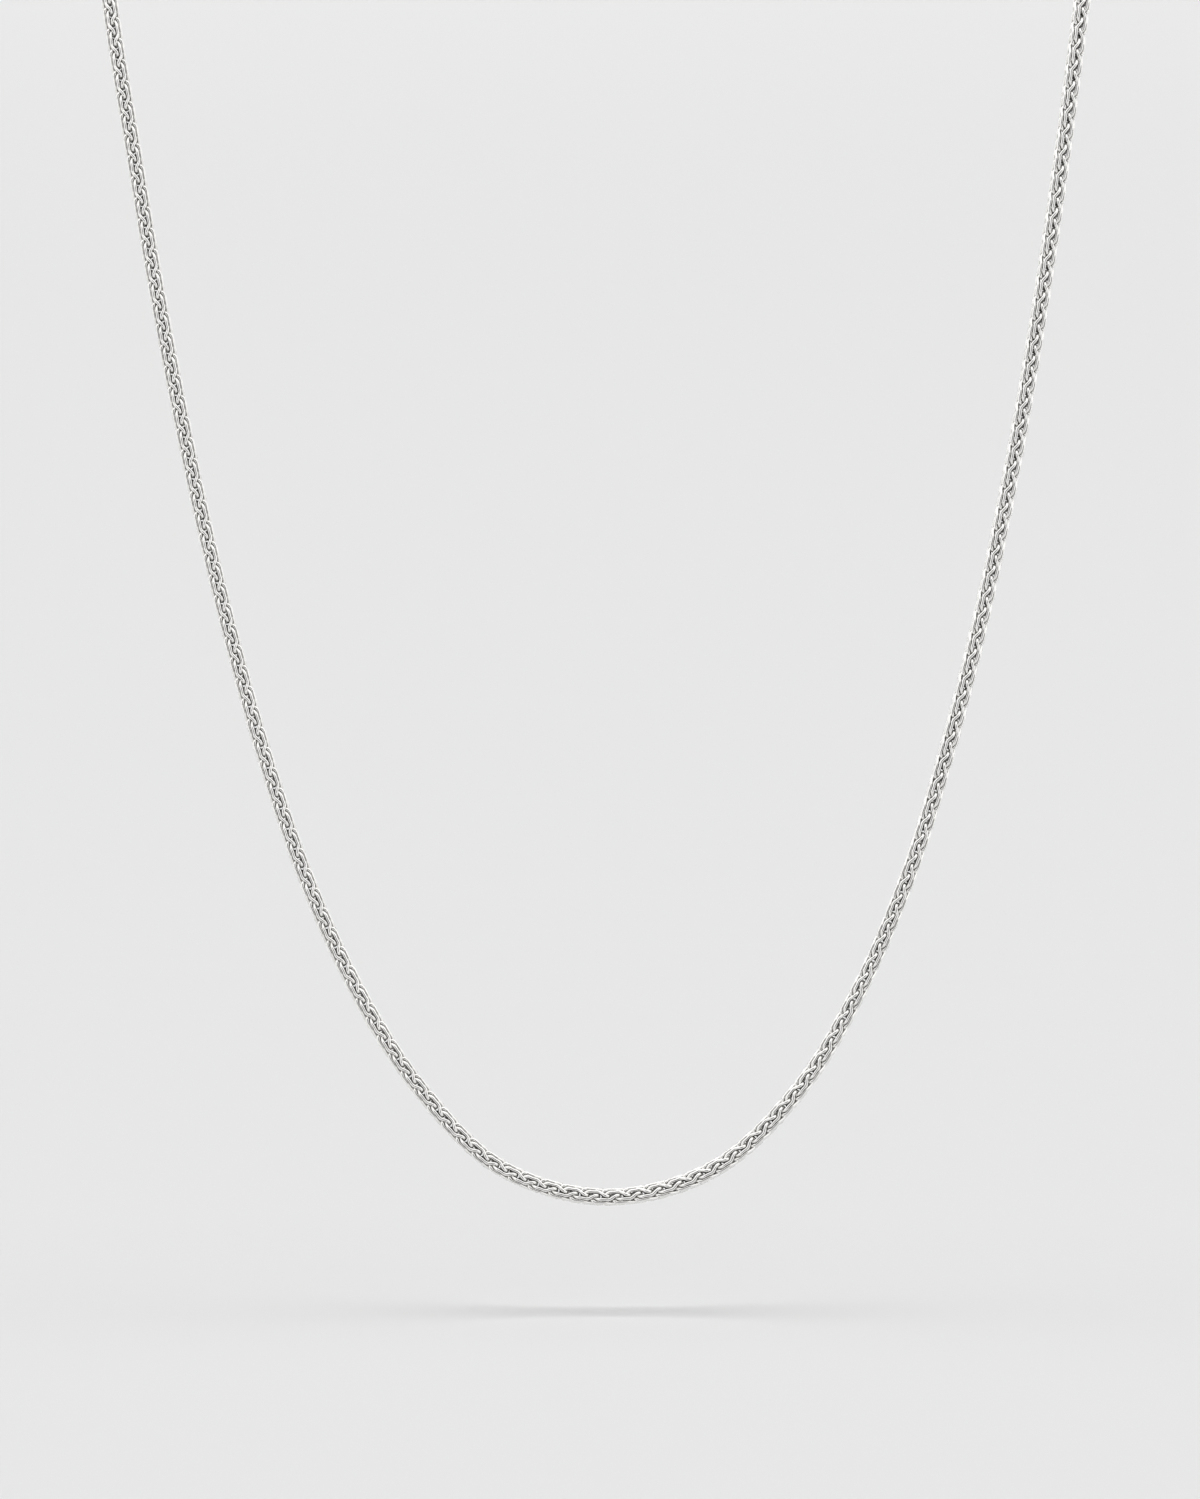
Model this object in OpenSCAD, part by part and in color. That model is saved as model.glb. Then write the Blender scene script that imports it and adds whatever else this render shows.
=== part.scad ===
// Wheat chain necklace, hanging as it is worn.
// The front loop hangs in one upright plane. The rest of its length goes over the
// shoulders and round the neck to a plain barrel clasp at the nape.
// The origin is the point of the clasp that rests on the nape. The front faces -Y, +Z is up.

/* [Chain] */
// Outer diameter of the chain
chain_d = 2.2; // [1.6:0.1:2.6]
// Number of sides of the chain's tube
chain_sides = 8; // [8:1:12]
// Number of rings in one step of the route
rings_per_step = 2; // [1:1:3]

/* [Front loop] */
// How far the front loop hangs before the nape
front_y = 54; // [53:0.5:55]
// How far the lowest point lies to the right of the nape
low_x = 1.5; // [0:0.5:3]
// How far the lowest point hangs below the nape
drop = 176; // [175:0.5:178]

/* [Clasp] */
// Length of the barrel
clasp_len = 12; // [9:0.5:14]
// Diameter of the barrel at its middle
clasp_d = 3.6; // [3.4:0.1:4.4]
// Diameter of the barrel at its two lips
lip_d = 3.2; // [3:0.1:3.4]
// Depth of the cup at each end of the barrel
cup_depth = 3; // [2:0.5:4]
// Space between the chain and the wall of its cup
cup_gap = 0.15; // [0.1:0.05:0.2]

/* [Hidden] */

chain_r = chain_d / 2;
cup_r = chain_r + cup_gap;
clasp_r = clasp_d / 2;
lip_r = lip_d / 2;
lip_chamfer = 0.12;
barrel_steps = 12;
seat_x = clasp_len / 2 - cup_depth;

// Columns of the front rows: height, x on the left, x on the right
row_z = 0;
row_left = 1;
row_right = 2;
front_rows = [
    [-172.5, -11.5, 14.5],
    [-163, -21.3, 24.7],
    [-151, -29, 32],
    [-137, -35.4, 38],
    [-122, -40.5, 42.7],
    [-107, -44.7, 46.6],
    [-92, -48.3, 49.8],
    [-77, -51.4, 52.6],
    [-62, -54.2, 55],
    [-48, -56.5, 57],
    [-34, -58.8, 58.8]
];

// Points over the shoulder and round the neck, on the right, from front to nape
back_points = [
    [60.4, -52.6, -21.5],
    [61, -45.8, -12],
    [60, -36, -6.5],
    [56, -25.5, -3.5],
    [49, -16.4, -1.5],
    [39.5, -8.7, -0.5],
    [28, -3, 0],
    [16, 0.9, 0],
    [seat_x, clasp_r, 0]
];

// The route of one half, from the lowest point to the clasp. Its side is -1 on the left.
function route(side) = concat(
    [[low_x, -front_y, -drop]],
    [for (row = front_rows)
        [side < 0 ? row[row_left] : row[row_right], -front_y, row[row_z]]],
    [for (p = back_points) [side * p.x, p.y, p.z]]
);

// The image of point q in the upright plane through point p that faces along X
function mirrored(q, p) = [2 * p.x - q.x, q.y, q.z];

// The route with one more point before and after it, so that both ends leave along X
function extended(p) = concat(
    [mirrored(p[1], p[0])],
    p,
    [mirrored(p[len(p) - 2], p[len(p) - 1])]
);

// A cubic through b and c that keeps the direction of its neighbours a and d
function curve_point(a, b, c, d, t) =
    (2 * b + (c - a) * t + (2 * a - 5 * b + 4 * c - d) * t * t
    + (3 * b - a - 3 * c + d) * t * t * t) / 2;

// The direction of the same cubic
function curve_slope(a, b, c, d, t) =
    ((c - a) + 2 * (2 * a - 5 * b + 4 * c - d) * t
    + 3 * (3 * b - a - 3 * c + d) * t * t) / 2;

function unit(v) = v / norm(v);

// The part of v that is square to the direction t, at length one
function squared(v, t) = unit(v - (v * t) * t);

// Where each ring of a half stands: its step of the route, and how far along that step
function ring_steps(count) = concat(
    [for (i = [0 : count - 1]) for (k = [0 : rings_per_step - 1]) [i, k / rings_per_step]],
    [[count - 1, 1]]
);

function ring_centres(q, steps) =
    [for (s = steps) curve_point(q[s[0]], q[s[0] + 1], q[s[0] + 2], q[s[0] + 3], s[1])];

function ring_slopes(q, steps) =
    [for (s = steps) unit(curve_slope(q[s[0]], q[s[0] + 1], q[s[0] + 2], q[s[0] + 3], s[1]))];

// A direction square to the route at every ring, carried from ring to ring without twist
function ring_normals(slopes) =
    [for (i = 0, n = squared([0, 1, 0], slopes[0]); i < len(slopes);
        i = i + 1, n = i < len(slopes) ? squared(n, slopes[i]) : n) n];

// A closed round tube of radius r with the given number of sides, swept along route p
module tube(p, r, sides) {
    q = extended(p);
    steps = ring_steps(len(p) - 1);
    centres = ring_centres(q, steps);
    slopes = ring_slopes(q, steps);
    normals = ring_normals(slopes);
    last = len(centres) - 1;
    points = [for (i = [0 : last]) for (k = [0 : sides - 1])
        let (a = 360 * k / sides)
        centres[i] + r * (cos(a) * normals[i] + sin(a) * cross(slopes[i], normals[i]))];
    walls = [for (i = [0 : last - 1]) for (k = [0 : sides - 1])
        let (next = (k + 1) % sides)
        [i * sides + k, (i + 1) * sides + k, (i + 1) * sides + next, i * sides + next]];
    start_face = [for (k = [0 : sides - 1]) k];
    end_face = [for (k = [sides - 1 : -1 : 0]) last * sides + k];
    polyhedron(points = points, faces = concat(walls, [start_face, end_face]), convexity = 6);
}

module chain_left() {
    color("silver") tube(route(-1), chain_r, chain_sides);
}

module chain_right() {
    color("silver") tube(route(1), chain_r, chain_sides);
}

// The radius of the crowned barrel at distance x from its middle
function barrel_r(x) = lip_r + (clasp_r - lip_r) * (1 - pow(2 * x / clasp_len, 2));

// Half of the barrel's section: its crowned side, with a small chamfer at each lip
function barrel_outline() =
    let (half = clasp_len / 2, body = half - lip_chamfer)
    concat(
        [[0, -half], [lip_r - lip_chamfer, -half]],
        [for (i = [0 : barrel_steps])
            let (x = -body + 2 * body * i / barrel_steps)
            [barrel_r(x), x]],
        [[lip_r - lip_chamfer, half], [0, half]]
    );

module clasp() {
    color("gainsboro")
    translate([0, clasp_r, 0])
    rotate([0, 90, 0])
    difference() {
        rotate_extrude($fn = 48) polygon(barrel_outline());
        for (side = [-1, 1])
            translate([0, 0, side * (seat_x + cup_depth)])
            cylinder(r = cup_r, h = 2 * cup_depth, center = true, $fn = 48);
    }
}

chain_left();
chain_right();
clasp();
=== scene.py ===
from math import cos, pi, radians

import bpy
import numpy as np
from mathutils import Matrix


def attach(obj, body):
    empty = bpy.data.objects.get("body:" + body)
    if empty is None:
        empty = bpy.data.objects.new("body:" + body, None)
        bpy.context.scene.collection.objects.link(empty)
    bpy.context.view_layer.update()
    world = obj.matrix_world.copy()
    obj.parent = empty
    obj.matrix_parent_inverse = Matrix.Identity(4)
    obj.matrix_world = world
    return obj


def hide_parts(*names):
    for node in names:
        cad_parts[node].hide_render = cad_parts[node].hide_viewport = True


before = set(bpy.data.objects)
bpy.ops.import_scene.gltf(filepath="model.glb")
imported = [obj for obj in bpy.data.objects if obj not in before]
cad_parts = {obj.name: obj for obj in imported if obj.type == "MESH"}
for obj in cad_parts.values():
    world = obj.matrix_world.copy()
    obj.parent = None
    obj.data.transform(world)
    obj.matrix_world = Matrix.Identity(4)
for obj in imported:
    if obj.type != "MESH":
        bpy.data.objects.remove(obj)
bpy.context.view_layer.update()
scene = bpy.context.scene
mm = 0.001
noiseSpan = (0.3, 0.7)  # where most of a noise texture's values lie
print("the packed necklace is loaded")


def hexToLinear(code):
    # an sRGB hex colour as the linear red, green, blue and alpha that a shader takes
    parts = np.array([int(code[k:k + 2], 16) for k in (1, 3, 5)]) / 255
    linear = np.where(parts <= 0.04045, parts / 12.92, ((parts + 0.055) / 1.055) ** 2.4)
    return (*linear.tolist(), 1.0)


def addNode(tree, kind, inputs=None, **settings):
    # one node with its settings; an input is a value, or another node's output to link
    node = tree.nodes.new(kind)
    for name, value in settings.items():
        setattr(node, name, value)
    for name, value in (inputs or {}).items():
        if isinstance(value, bpy.types.NodeSocket):
            tree.links.new(value, node.inputs[name])
        else:
            node.inputs[name].default_value = value
    return node


def addMix(tree, share, first, second, kind="RGBA", **settings):
    # the mix of two colours or, with kind FLOAT, of two numbers. The node's sockets share
    # their names, so they are picked by their places.
    a, b, mixed = {"RGBA": (6, 7, 2), "FLOAT": (2, 3, 0)}[kind]
    node = addNode(tree, "ShaderNodeMix", {0: share, a: first, b: second},
                   data_type=kind, **settings)
    return node.outputs[mixed]


def newMaterial(name):
    # an empty node material with its shader and its output
    material = bpy.data.materials.new(name)
    material.use_nodes = True
    tree = material.node_tree
    tree.nodes.clear()
    shader = addNode(tree, "ShaderNodeBsdfPrincipled")
    addNode(tree, "ShaderNodeOutputMaterial", {"Surface": shader.outputs["BSDF"]})
    return material, tree, shader


def gridFaces(rows, columns, closedRows=False):
    # four-sided faces of a grid whose columns close round, and whose rows may close too
    r = np.arange(rows if closedRows else rows - 1)[:, None]
    c = np.arange(columns)[None, :]
    r2, c2 = (r + 1) % rows, (c + 1) % columns
    corners = [r * columns + c, r * columns + c2, r2 * columns + c2, r2 * columns + c]
    return np.stack(corners, -1).reshape(-1, 4)


def meshObject(name, points, faces, material):
    # a smooth mesh object at the origin, with its place in its mesh
    mesh = bpy.data.meshes.new(name)
    mesh.from_pydata(points.tolist(), [], [list(face) for face in faces])
    mesh.polygons.foreach_set("use_smooth", np.ones(len(faces), bool))
    mesh.materials.append(material)
    piece = bpy.data.objects.new(name, mesh)
    scene.collection.objects.link(piece)
    return piece


def curveThrough(points, step=None, count=None):
    # A cubic through every point: between b and c, with neighbours a and d, it is
    # half of 2b + (c-a)t + (2a-5b+4c-d)t^2 + (3b-a-3c+d)t^3, then resampled evenly.
    # With a step it is open, and goes on past each end as its own mirror image in x.
    # With a count it is closed, and has that many points.
    perSpan = 64
    closed = step is None
    if closed:
        padded = np.vstack([points[-1:], points, points[:2]])
    else:
        flip = np.array([-1.0, 1, 1])
        shift = np.array([2.0, 0, 0])
        before = points[1] * flip + points[0] * shift
        after = points[-2] * flip + points[-1] * shift
        padded = np.vstack([before, points, after])
    a, b, c, d = (padded[k:len(padded) - 3 + k, None] for k in range(4))
    t = (np.arange(perSpan) / perSpan)[None, :, None]
    fine = (2 * b + (c - a) * t + (2 * a - 5 * b + 4 * c - d) * t ** 2
            + (3 * b - a - 3 * c + d) * t ** 3) / 2
    fine = np.vstack([fine.reshape(-1, 3), padded[-2:-1]])
    along = np.r_[0, np.cumsum(np.linalg.norm(np.diff(fine, axis=0), axis=1))]
    if not closed:
        count = int(round(along[-1] / step)) + 1
    even = np.linspace(0, along[-1], count, endpoint=not closed)
    return np.stack([np.interp(even, along, fine[:, k]) for k in range(3)], 1)


# Camera: square in front of the loop, level with the middle of the picture

view = {
    "aim": (0.49 * mm, -54 * mm, -121.4 * mm),
    "distance": 750 * mm,
    "pictureHeight": 182.9 * mm,  # what the picture's long side spans at the chain
    "sensor": 36,  # mm
}
camera = bpy.data.cameras.new("camera")
camera.sensor_fit = "AUTO"
camera.sensor_width = view["sensor"]
camera.lens = view["sensor"] * view["distance"] / view["pictureHeight"]
cameraObject = bpy.data.objects.new("camera", camera)
cameraObject.location = (view["aim"][0], view["aim"][1] - view["distance"], view["aim"][2])
cameraObject.rotation_euler = (radians(90), 0, 0)
scene.collection.objects.link(cameraObject)
scene.camera = cameraObject
print("camera set")


# The route of the whole loop, in mm: the same points as the solid tubes

route = {
    "lowest": [1.5, -54, -176],
    "frontY": -54,
    # height, x on the left, x on the right
    "frontRows": [
        [-172.5, -11.5, 14.5], [-163, -21.3, 24.7], [-151, -29, 32], [-137, -35.4, 38],
        [-122, -40.5, 42.7], [-107, -44.7, 46.6], [-92, -48.3, 49.8], [-77, -51.4, 52.6],
        [-62, -54.2, 55], [-48, -56.5, 57], [-34, -58.8, 58.8],
    ],
    # over the shoulder and round the neck, on the right
    "backPoints": [
        [60.4, -52.6, -21.5], [61, -45.8, -12], [60, -36, -6.5], [56, -25.5, -3.5],
        [49, -16.4, -1.5], [39.5, -8.7, -0.5], [28, -3, 0], [16, 0.9, 0], [3, 1.8, 0],
    ],
    "step": 0.1,
    "liftDepth": 30,  # how far behind the front the chain's face has turned up to the sky
}


def halfRoute(side):
    # one half from the lowest point to the clasp; side is -1 or 1
    rows = np.array(route["frontRows"])
    x = rows[:, 1] if side < 0 else rows[:, 2]
    front = np.stack([x, np.full(len(rows), route["frontY"]), rows[:, 0]], 1)
    back = np.array(route["backPoints"]) * [side, 1, 1]
    return curveThrough(np.vstack([[route["lowest"]], front, back]), step=route["step"])


leftHalf = halfRoute(-1)
rightHalf = halfRoute(1)
centreLine = np.vstack([leftHalf[::-1], rightHalf[1:]])
steps = np.linalg.norm(np.diff(centreLine, axis=0), axis=1)
# the way along the route from its lowest point, below 0 on the left
alongLine = np.r_[0, np.cumsum(steps)] - steps[:len(leftHalf) - 1].sum()
heading = np.gradient(centreLine, axis=0)
heading /= np.linalg.norm(heading, axis=1)[:, None]

# The chain's face looks forward on the front loop and up to the sky past the shoulders:
# a direction blended from front to up, less its part along the route, at length one.
lift = np.clip((centreLine[:, 1] - route["frontY"]) / route["liftDepth"], 0, 1)
lift = lift * lift * (3 - 2 * lift)
faceWay = np.stack([0 * lift, lift - 1, lift], 1)
faceWay -= (faceWay * heading).sum(1)[:, None] * heading
faceWay /= np.linalg.norm(faceWay, axis=1)[:, None]
inWay = np.cross(faceWay, heading)  # towards the inner side of the loop
print(f"route of {alongLine[-1] - alongLine[0]:.1f} mm laid")


# The links: each is a closed wire, twisted and folded over its middle, whose two heads stand
# in two opposite columns. The next link comes out through the heads. The links of the other
# two columns are the mirror image, half a pitch on, so that the arms cross in turn.

chain = {
    "wireSize": 0.444,  # mm, the unit of half, pitch and reach
    "drawnShare": 0.93,  # the wire as drawn, so that touching links keep a hair's gap
    "pitch": 5.85,  # from one link to the next of the same columns
    # half of one link, from its fold up one arm, over the head and down the other arm:
    # distance from the chain's middle, degrees from the column's middle, way along the chain
    "half": [
        [1.0, 168, -0.95], [0.55, 115, -0.8], [0.75, 42, -0.3], [1.5, 14, 0.4],
        [1.9, 12, 1.3], [1.95, 14, 2.2], [1.95, 13, 3.1], [2.0, 12, 3.9],
        [2.0, 24, 4.7], [1.95, 37, 5.35], [1.95, 47, 6.1], [1.6, 49, 6.7],
        [1.0, 44, 6.95], [0.6, 0, 6.75], [1.0, -40, 6.15], [1.65, -43, 5.3],
        [1.9, -37, 4.6], [1.95, -27, 3.85], [2.0, -18, 3.0], [2.0, -16, 2.2],
        [2.0, -18, 1.3], [2.0, -19, 0.5], [1.9, -10, -0.25], [1.5, -5, -0.75],
    ],
    "reach": (1.5, 7.5),  # how far a link's wire goes below and above its fold's place
    "segments": 60,
    "sides": 6,
    "endGap": 0.05,  # mm between the last links and the floors of the clasp's cups
    # how the chain lies turned: mm from the lowest point, degrees
    "turning": [
        [-150, -42], [-112, -42], [-80, -38], [-10, -37], [0, -30], [10, -27],
        [40, -35], [75, -57], [150, -60],
    ],
    "seed": 11,
}


def linkWire():
    # the centre line of one link, in wire sizes: its half and the same half turned round
    rows = np.array(chain["half"])
    turn = np.radians(rows[:, 1])
    half = np.stack([rows[:, 0] * np.cos(turn), rows[:, 0] * np.sin(turn), rows[:, 2]], 1)
    return curveThrough(np.vstack([half, half * [-1, -1, 1]]), count=chain["segments"])


def linkTube():
    # A round wire along the link's centre line: every point is the centre plus the radius
    # times a circle in the plane square to the line. The circle starts on the side away
    # from the link's own middle, so that the tube closes without a twist.
    centre = linkWire()
    line = np.roll(centre, -1, 0) - np.roll(centre, 1, 0)
    line /= np.linalg.norm(line, axis=1)[:, None]
    out = centre - centre.mean(0)
    out -= (out * line).sum(1)[:, None] * line
    out /= np.linalg.norm(out, axis=1)[:, None]
    across = np.cross(line, out)
    a = (np.arange(chain["sides"]) * 2 * pi / chain["sides"])[None, :, None]
    radius = chain["drawnShare"] / 2
    points = centre[:, None] + radius * (np.cos(a) * out[:, None] + np.sin(a) * across[:, None])
    return points.reshape(-1, 3)


def chainPoints(folds, columns):
    # Every point of every link: the route at the link's fold plus the point's own way along,
    # moved off the route by the point's two other distances, which are swapped in every
    # second link to mirror it, and turned by how the chain lies there.
    tube = linkTube() * chain["wireSize"]
    s = folds[:, None] + tube[None, :, 2]
    turning = np.array(chain["turning"])
    turn = np.radians(np.interp(s, turning[:, 0], turning[:, 1]))
    mirrored = columns[:, None] == 1
    first = np.where(mirrored, tube[:, 1], tube[:, 0])
    second = np.where(mirrored, tube[:, 0], tube[:, 1])
    outward = first * np.cos(turn) - second * np.sin(turn)
    inward = first * np.sin(turn) + second * np.cos(turn)
    at = [np.stack([np.interp(s, alongLine, way[:, k]) for k in range(3)], -1)
          for way in (centreLine, faceWay, inWay)]
    return at[0] + outward[..., None] * at[1] + inward[..., None] * at[2]


def chainMesh(name, folds, columns, material):
    # the links whose folds are given, as one mesh with its recess, its tones and its map
    points = chainPoints(folds, columns) * mm
    perLink = points.shape[1]
    faces = gridFaces(chain["segments"], chain["sides"], closedRows=True)
    # a mirrored link's faces are listed the other way round, so that they point outward
    perFace = np.where((columns == 1)[:, None, None], faces[:, ::-1], faces)
    allFaces = (perFace + np.arange(len(folds))[:, None, None] * perLink).reshape(-1, 4)
    piece = meshObject(name, points.reshape(-1, 3), allFaces, material)
    mesh = piece.data
    # the recess is 0 where a wire lies farthest out, and grows towards the chain's middle; the
    # silver's colour darkens with it as painted shade, and its roughness grows
    tube = linkTube()
    fromMiddle = np.hypot(tube[:, 0], tube[:, 1])
    depth = 1 - fromMiddle / fromMiddle.max()
    recess = mesh.attributes.new("recess", "FLOAT", "POINT")
    recess.data.foreach_set("value", np.tile(depth, len(folds)).astype(np.float32))
    rng = np.random.default_rng(chain["seed"] + len(folds))
    tones = np.repeat(rng.random(len(folds)), perLink)
    tone = mesh.attributes.new("linkTone", "FLOAT", "POINT")
    tone.data.foreach_set("value", tones.astype(np.float32))
    # The map runs along the wire in u and round it in v. A face that joins the last ring or
    # side to the first takes the first as one past the last.
    corner = perFace.reshape(-1, 4)
    uv = []
    for step, count in ((corner // chain["sides"], chain["segments"]),
                        (corner % chain["sides"], chain["sides"])):
        joins = (step.max(1) - step.min(1) > 1)[:, None] & (step == 0)
        uv.append(np.where(joins, count, step) / count)
    uvMap = mesh.uv_layers.new(name="wire")
    uvMap.data.foreach_set("uv", np.stack(uv, -1).astype(np.float32).reshape(-1))
    return piece


# Sterling silver wire, drawn, folded, tumbled bright and plated with rhodium: a neutral
# white mirror, a little softer in patches, and rougher between the wires where no cloth
# reaches it, with painted shade darkening its colour there.
silver = {
    "outside": "#F2F1EF",
    # the tone between is painted shade: a dark grey where the wires lie deep in the chain
    "between": "#7B7A78",
    "betweenSpan": (0.3, 0.6),  # the recess where the tone between starts and is full
    "linkShade": (0.94, 1.0),  # from the darkest link to the lightest
    "roughness": (0.06, 0.15),
    "deepRoughness": 0.35,
    "patch": 0.5,  # mm across one softer or brighter patch
    "drawLines": (6, 9),  # along the wire and round it
    "bump": 0.04,
    "bumpDepth": 0.02,  # mm
}
chainSilver, tree, shader = newMaterial("drawnSilverWire")
coordinates = addNode(tree, "ShaderNodeTexCoord")
recess = addNode(tree, "ShaderNodeAttribute", attribute_name="recess")
tone = addNode(tree, "ShaderNodeAttribute", attribute_name="linkTone")
patches = addNode(tree, "ShaderNodeTexNoise", {
    "Vector": coordinates.outputs["Object"], "Scale": 1 / (silver["patch"] * mm), "Detail": 3,
})
deep = addNode(tree, "ShaderNodeMapRange", {
    "Value": recess.outputs["Fac"],
    "From Min": silver["betweenSpan"][0], "From Max": silver["betweenSpan"][1],
}, interpolation_type="SMOOTHSTEP")
# painted shade: the base colour darkens from the outside tone to the tone between as the recess
# grows
paintedShadeColour = addMix(tree, deep.outputs["Result"], hexToLinear(silver["outside"]),
                hexToLinear(silver["between"]))
linkShade = addNode(tree, "ShaderNodeMapRange", {
    "Value": tone.outputs["Fac"],
    "To Min": silver["linkShade"][0], "To Max": silver["linkShade"][1],
})
shaded = addMix(tree, 1.0, paintedShadeColour, linkShade.outputs["Result"], blend_type="MULTIPLY")
polish = addNode(tree, "ShaderNodeMapRange", {
    "Value": patches.outputs["Fac"], "From Min": noiseSpan[0], "From Max": noiseSpan[1],
    "To Min": silver["roughness"][0], "To Max": silver["roughness"][1],
})
softer = addMix(tree, deep.outputs["Result"], polish.outputs["Result"],
                silver["deepRoughness"], kind="FLOAT")
stretched = addNode(tree, "ShaderNodeMapping", {
    "Vector": coordinates.outputs["UV"], "Scale": (*silver["drawLines"], 1),
})
lines = addNode(tree, "ShaderNodeTexNoise", {
    "Vector": stretched.outputs["Vector"], "Scale": 1.0, "Detail": 2,
})
bump = addNode(tree, "ShaderNodeBump", {
    "Strength": silver["bump"], "Distance": silver["bumpDepth"] * mm,
    "Height": lines.outputs["Fac"],
})
tree.links.new(shaded, shader.inputs["Base Color"])
tree.links.new(softer, shader.inputs["Roughness"])
tree.links.new(bump.outputs["Normal"], shader.inputs["Normal"])
shader.inputs["Metallic"].default_value = 1.0

# Each column pair's folds stand a pitch apart, the two pairs half a pitch apart, and
# every link lies wholly between the floors of the two cups. A link belongs to the left
# piece when its middle lies left of the lowest point.
size = chain["wireSize"]
below, above = chain["reach"]
firstFold = alongLine[0] + chain["endGap"] + below * size
lastFold = alongLine[-1] - chain["endGap"] - above * size
linkCount = int((lastFold - firstFold) / (chain["pitch"] * size / 2)) + 1
folds = np.linspace(firstFold, lastFold, linkCount)
columns = np.arange(linkCount) % 2
onLeft = folds + (above - below) / 2 * size < 0
leftChain = chainMesh("chainLinksLeft", folds[onLeft], columns[onLeft], chainSilver)
rightChain = chainMesh("chainLinksRight", folds[~onLeft], columns[~onLeft], chainSilver)
for piece, node in ((leftChain, "chain_left"), (rightChain, "chain_right")):
    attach(piece, "root")
    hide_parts(node)
print(f"{linkCount} links, {(folds[1] - folds[0]) * 2:.3f} mm a pitch")


# Sterling silver barrel, turned, polished and plated with rhodium: a white mirror with
# faint lathe lines round it, and a fine dark seam where its two screwed halves meet.
barrel = {
    "colour": "#DBDAD8",
    "seamColour": "#6E6D6B",
    "axisY": 1.8,  # mm, how far its axis lies behind the nape
    "seamSpan": (0.045, 0.09),  # mm from its middle where the seam starts to end and is gone
    "roughness": (0.12, 0.22),
    "lathePitch": 0.12,  # mm between lathe lines, coarser than real so that they show
    "latheStretch": 40,  # how many times longer than wide a lathe line is
    "latheShare": 0.06,  # of the seam's depth
    "bump": 0.6,
    "bumpDepth": 0.06,  # mm
}
claspSilver, tree, shader = newMaterial("turnedSilver")
coordinates = addNode(tree, "ShaderNodeTexCoord")
centred = addNode(tree, "ShaderNodeMapping", {
    "Vector": coordinates.outputs["Object"], "Location": (0, -barrel["axisY"] * mm, 0),
})
alongBarrel = addNode(tree, "ShaderNodeSeparateXYZ", {"Vector": centred.outputs["Vector"]})
fromSeam = addNode(tree, "ShaderNodeMath", {0: alongBarrel.outputs["X"]}, operation="ABSOLUTE")
seam = addNode(tree, "ShaderNodeMapRange", {
    "Value": fromSeam.outputs[0],
    "From Min": barrel["seamSpan"][0] * mm, "From Max": barrel["seamSpan"][1] * mm,
}, interpolation_type="SMOOTHSTEP")
fineScale = 1 / (barrel["lathePitch"] * mm)
longScale = fineScale / barrel["latheStretch"]
squeezed = addNode(tree, "ShaderNodeMapping", {
    "Vector": centred.outputs["Vector"], "Scale": (fineScale, longScale, longScale),
})
lathe = addNode(tree, "ShaderNodeTexNoise", {
    "Vector": squeezed.outputs["Vector"], "Scale": 1.0, "Detail": 2,
})
height = addNode(tree, "ShaderNodeMath", {
    0: lathe.outputs["Fac"], 1: barrel["latheShare"], 2: seam.outputs["Result"],
}, operation="MULTIPLY_ADD")
bump = addNode(tree, "ShaderNodeBump", {
    "Strength": barrel["bump"], "Distance": barrel["bumpDepth"] * mm,
    "Height": height.outputs[0],
})
seamTint = addMix(tree, seam.outputs["Result"], hexToLinear(barrel["seamColour"]),
                  hexToLinear(barrel["colour"]))
polish = addNode(tree, "ShaderNodeMapRange", {
    "Value": lathe.outputs["Fac"], "From Min": noiseSpan[0], "From Max": noiseSpan[1],
    "To Min": barrel["roughness"][0], "To Max": barrel["roughness"][1],
})
tree.links.new(seamTint, shader.inputs["Base Color"])
tree.links.new(polish.outputs["Result"], shader.inputs["Roughness"])
tree.links.new(bump.outputs["Normal"], shader.inputs["Normal"])
shader.inputs["Metallic"].default_value = 1.0
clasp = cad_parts["clasp"]
clasp.data.materials.clear()
clasp.data.materials.append(claspSilver)
print("clasp finished")


# Stage: a round pale cove. Its floor takes the overhead light and the chain's soft shadow,
# and it glows more the more it turns upright, so that it is one even pale grey all over.
cove = {
    "floorZ": -190 * mm,
    "radius": 2.0,
    "foot": 0.5,  # radius of the sweep from floor to wall
    "wallTop": 3.0,
    "firstRing": 1 * mm,  # radius of the smallest ring of points
    "rings": (12, 15, 5),  # on the floor, the sweep and the wall
    "around": 96,  # points in a ring
    "grey": "#E7E7E7",
}


def coveProfile():
    # out along the floor, up a quarter circle, then up the wall: distance and height
    onFloor, onSweep, onWall = cove["rings"]
    edge = cove["radius"] - cove["foot"]
    flat = np.linspace(cove["firstRing"], edge, onFloor)
    turn = np.linspace(0, pi / 2, onSweep + 1)[1:]
    up = np.linspace(cove["foot"], cove["wallTop"], onWall + 1)[1:]
    distance = np.r_[flat, edge + cove["foot"] * np.sin(turn), np.full(onWall, cove["radius"])]
    height = np.r_[0 * flat, cove["foot"] * (1 - np.cos(turn)), up]
    return distance, height + cove["floorZ"]


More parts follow.
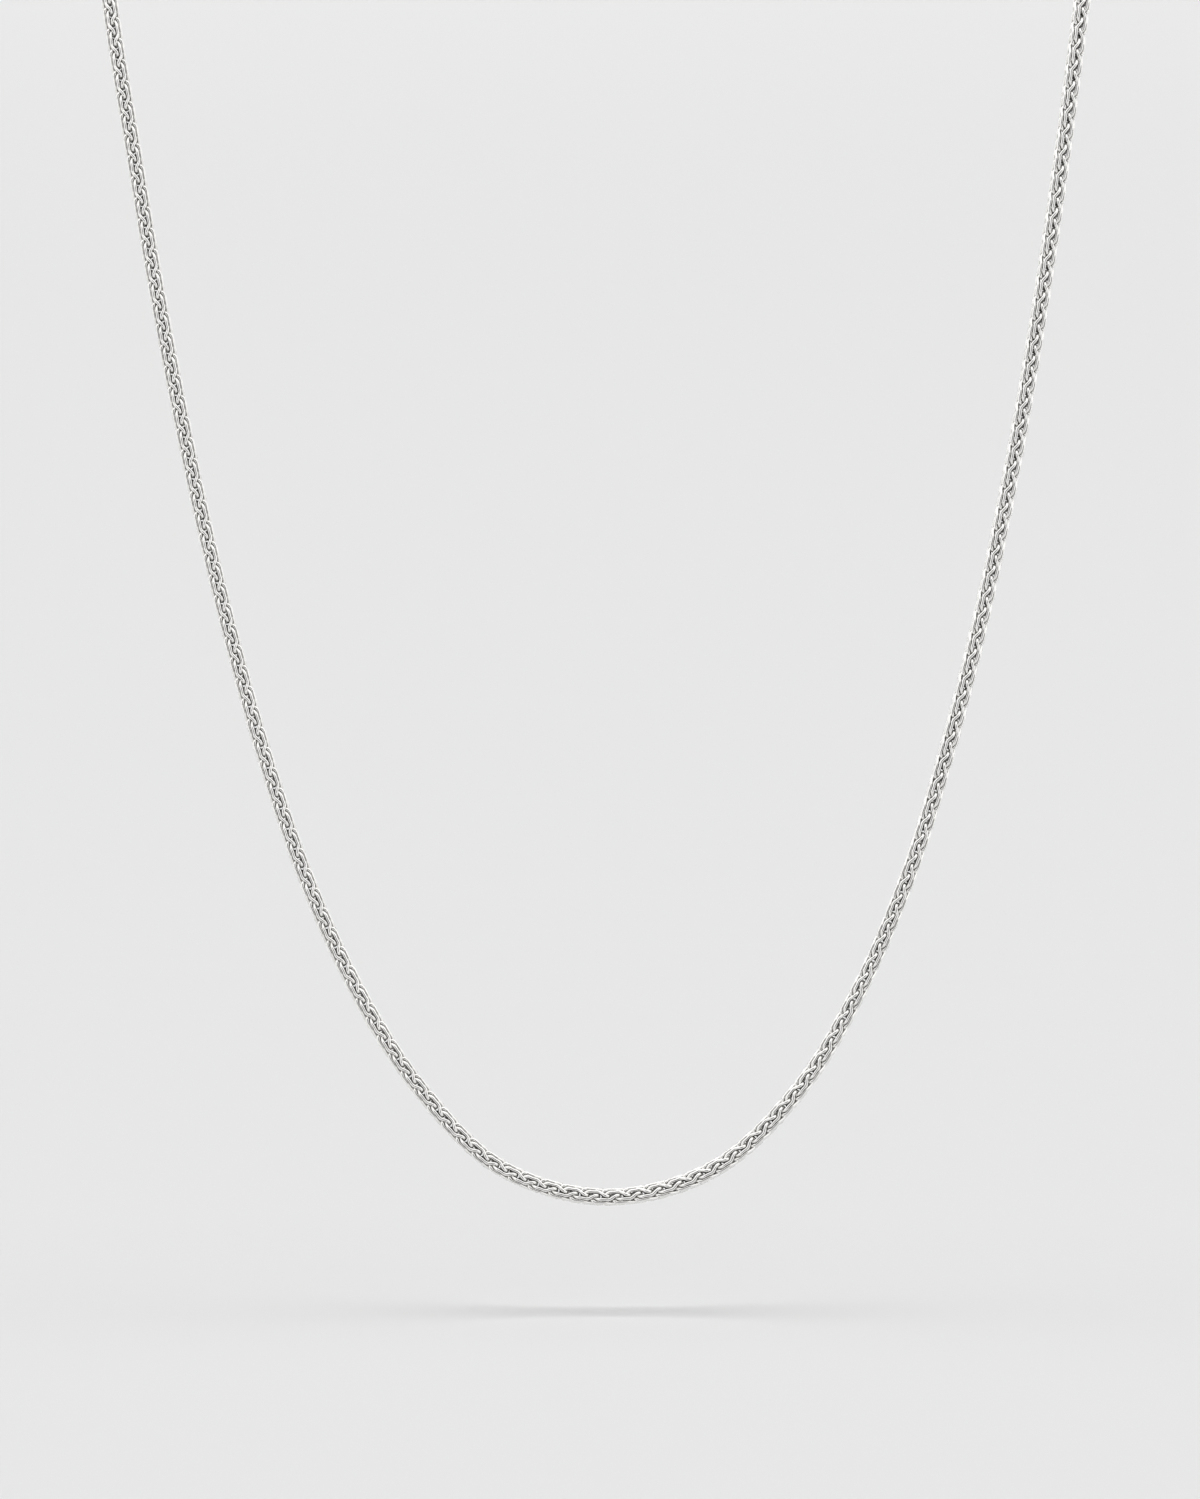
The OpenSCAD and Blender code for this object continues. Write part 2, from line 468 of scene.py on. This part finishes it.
distance, height = coveProfile()
around = cove["around"]
angle = np.linspace(0, 2 * pi, around, endpoint=False)
coveGrid = np.stack([distance[:, None] * np.cos(angle), distance[:, None] * np.sin(angle),
                     np.repeat(height[:, None], around, 1)], -1).reshape(-1, 3)
middle = np.full(around, len(coveGrid))  # the first ring closes on the middle of the floor
fan = np.stack([middle, np.arange(around), (np.arange(around) + 1) % around], 1)
coveGrid = np.vstack([coveGrid, [[0, 0, cove["floorZ"]]]])
coveFaces = gridFaces(len(distance), around)[:, ::-1].tolist() + fan.tolist()
paper, tree, shader = newMaterial("palePaperCove")
normal = addNode(tree, "ShaderNodeNewGeometry")
upness = addNode(tree, "ShaderNodeSeparateXYZ", {"Vector": normal.outputs["Normal"]})
glow = addNode(tree, "ShaderNodeMapRange", {
    "Value": upness.outputs["Z"], "To Min": 1.0, "To Max": 0.0,
})
shader.inputs["Base Color"].default_value = (0.8, 0.8, 0.8, 1)
shader.inputs["Roughness"].default_value = 1.0
shader.inputs["Specular IOR Level"].default_value = 0.0
shader.inputs["Emission Color"].default_value = hexToLinear(cove["grey"])
tree.links.new(glow.outputs["Result"], shader.inputs["Emission Strength"])
covePiece = meshObject("cove", coveGrid, coveFaces, paper)
covePiece.visible_glossy = False
covePiece.visible_diffuse = False
covePiece.visible_shadow = False

lights = {
    "overhead": 3.14,  # lights the floor to the same grey
    "overheadAngle": 54,
    "roomTop": 1.35,
    "roomBottom": 0.75,
    # degrees from that side where the dark starts and where it is full, and how bright
    # the full dark still is
    "frontDark": (29, 20, 0.08),
    "backDark": (45, 30, 0.9),
}
overhead = bpy.data.lights.new("overhead", "SUN")
overhead.energy = lights["overhead"]
overhead.angle = radians(lights["overheadAngle"])
overheadObject = bpy.data.objects.new("overhead", overhead)
overheadObject.visible_glossy = False
scene.collection.objects.link(overheadObject)

# The room that the silver mirrors: bright walls, brighter above, dark where the camera
# stands and a little darker opposite it.
room = bpy.data.worlds.new("room")
room.use_nodes = True
scene.world = room
tree = room.node_tree
tree.nodes.clear()
direction = addNode(tree, "ShaderNodeSeparateXYZ", {
    "Vector": addNode(tree, "ShaderNodeTexCoord").outputs["Generated"],
})
toFront = addNode(tree, "ShaderNodeMath", {0: direction.outputs["Y"], 1: -1.0},
                  operation="MULTIPLY")
sides = []
for way, (start, full, level) in ((toFront.outputs[0], lights["frontDark"]),
                                  (direction.outputs["Y"], lights["backDark"])):
    sides.append(addNode(tree, "ShaderNodeMapRange", {
        "Value": way, "From Min": cos(radians(start)), "From Max": cos(radians(full)),
        "To Min": 1.0, "To Max": level,
    }, interpolation_type="SMOOTHSTEP").outputs["Result"])
sky = addNode(tree, "ShaderNodeMapRange", {
    "Value": direction.outputs["Z"], "From Min": -1, "From Max": 1,
    "To Min": lights["roomBottom"], "To Max": lights["roomTop"],
})
darkened = addNode(tree, "ShaderNodeMath", {0: sides[0], 1: sides[1]}, operation="MULTIPLY")
brightness = addNode(tree, "ShaderNodeMath", {
    0: sky.outputs["Result"], 1: darkened.outputs[0],
}, operation="MULTIPLY")
walls = addNode(tree, "ShaderNodeBackground", {
    "Color": (1, 1, 1, 1), "Strength": brightness.outputs[0],
})
addNode(tree, "ShaderNodeOutputWorld", {"Surface": walls.outputs["Background"]})
room.cycles_visibility.diffuse = False
room.cycles_visibility.camera = False
scene.view_settings.view_transform = "Standard"
print("cove, lights and room set")
